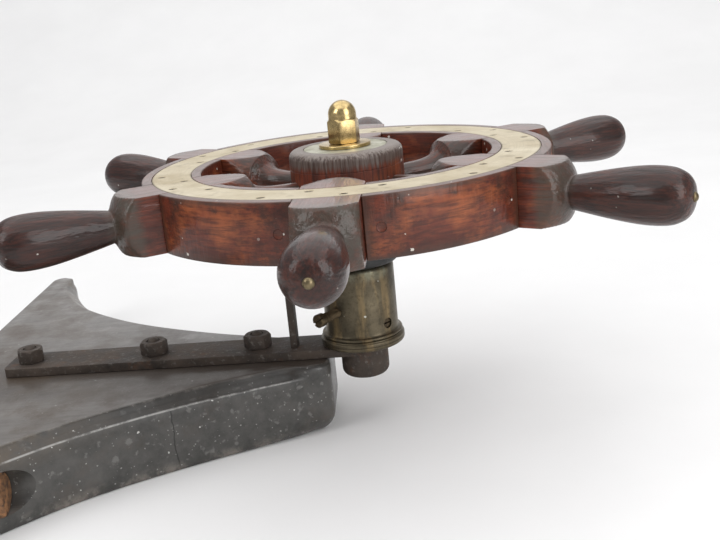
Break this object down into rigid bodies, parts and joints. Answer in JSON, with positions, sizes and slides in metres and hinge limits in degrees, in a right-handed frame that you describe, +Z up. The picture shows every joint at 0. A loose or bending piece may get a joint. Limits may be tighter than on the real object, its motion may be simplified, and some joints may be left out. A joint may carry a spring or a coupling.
{
  "type": "ship steering wheel",
  "caption": "Small-craft wooden spoked steering wheel with handles, brass face ring and rope drum, turning on a spindle held by an iron strap on a flared stand board.",
  "frame": {"origin": "on the underside of the stand board, halfway between the two strap bolts that are nearest to the wheel", "axes": "+Z is up and parallel to the wheel's axis; +X runs along the strap from the board's flared foot towards the wheel"},
  "size_m": [0.6351, 0.6288, 0.2763],
  "materials": {
    "mahogany": "old varnished mahogany, worn and dirty",
    "dark_wood": "dark wood pellets",
    "bare_wood": "bare weathered wood",
    "grey_paint": "worn dark grey painted wood",
    "black_paint": "matt black, worn",
    "rusty_iron": "rough brown iron",
    "steel": "dull steel",
    "brass": "polished brass",
    "pale_brass": "pale satin brass",
    "verdigris": "tarnished grey-green brass",
    "bronze": "brown patinated bronze",
    "dark_bronze": "dark bearing bronze"
  },
  "bodies": {
    "stand": {"stand_board": "grey_paint", "strap": "rusty_iron", "strap_bolt_1": "rusty_iron", "strap_bolt_2": "rusty_iron", "strap_bolt_3": "rusty_iron", "strap_nut_1": "rusty_iron", "strap_nut_2": "rusty_iron", "strap_nut_3": "rusty_iron", "line_keeper": "rusty_iron", "spindle": "steel", "thrust_washer": "dark_bronze", "nut_washer": "brass", "dome_nut": "brass", "foot_bolt_1": "rusty_iron", "foot_bolt_2": "rusty_iron", "foot_plug_1": "bare_wood", "foot_plug_2": "bare_wood"},
    "wheel": {"hub": "mahogany", "hub_plate": "verdigris", "bearing_sleeve": "dark_bronze", "drum_collar": "black_paint", "rope_drum": "bronze", "anchor_screw": "brass", "grub_screw": "steel", "face_ring": "pale_brass", "spoke_1": "mahogany", "felloe_1": "mahogany", "handle_button_1": "brass", "spoke_2": "mahogany", "felloe_2": "mahogany", "handle_button_2": "brass", "spoke_3": "mahogany", "felloe_3": "mahogany", "handle_button_3": "brass", "spoke_4": "mahogany", "felloe_4": "mahogany", "handle_button_4": "brass", "spoke_5": "mahogany", "felloe_5": "mahogany", "handle_button_5": "brass", "spoke_6": "mahogany", "felloe_6": "mahogany", "handle_button_6": "brass", "felloe_plug_1": "dark_wood", "felloe_plug_2": "dark_wood", "felloe_plug_3": "dark_wood", "felloe_plug_4": "dark_wood", "felloe_plug_5": "dark_wood", "felloe_plug_6": "dark_wood", "felloe_plug_7": "dark_wood", "felloe_plug_8": "dark_wood", "felloe_plug_9": "dark_wood", "felloe_plug_10": "dark_wood", "felloe_plug_11": "dark_wood", "felloe_plug_12": "dark_wood"}
  },
  "joints": [
    {"name": "wheel_turn", "type": "hinge", "parent": "stand", "child": "wheel", "pos_m": [0.138, 0, 0.2], "axis": [0, 0, 1], "continuous": true}
  ]
}
